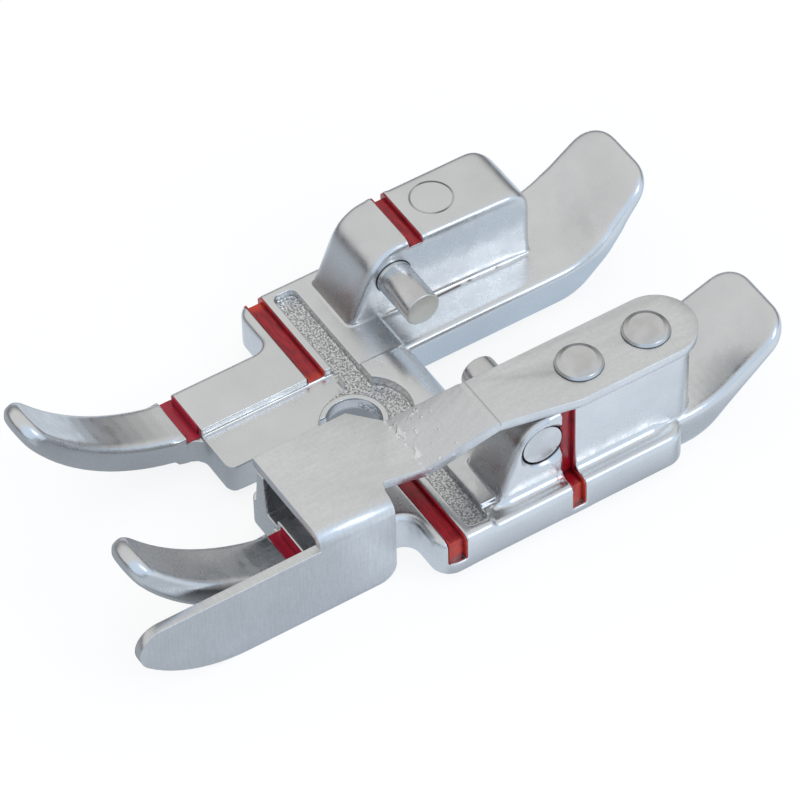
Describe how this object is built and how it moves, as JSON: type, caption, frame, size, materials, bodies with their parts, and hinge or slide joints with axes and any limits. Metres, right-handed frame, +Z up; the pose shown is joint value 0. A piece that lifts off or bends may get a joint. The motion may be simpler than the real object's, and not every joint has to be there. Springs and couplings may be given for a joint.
{
  "type": "sewing machine presser foot",
  "caption": "Chrome quilting presser foot with upturned toes, a needle hole with thread slot, a bent sheet-metal edge guide and two inward holder pins.",
  "frame": {"origin": "needle axis where it meets the plane of the sole", "axes": "+X to the operator's right (towards the edge guide), +Y to the back of the machine (towards the tails), +Z up along the needle"},
  "size_m": [0.0175, 0.0334, 0.0075],
  "materials": {
    "plated_casting": "satin",
    "pin_steel": "turned",
    "guide_sheet": "brushed",
    "rivet_steel": "satin",
    "red_enamel": "gloss"
  },
  "bodies": {
    "root": {"foot_body": "plated_casting", "left_pin": "pin_steel", "right_pin": "pin_steel", "edge_guide": "guide_sheet", "guide_rivets": "rivet_steel", "front_marks": "red_enamel", "needle_marks": "red_enamel", "rear_marks": "red_enamel"}
  },
  "joints": []
}
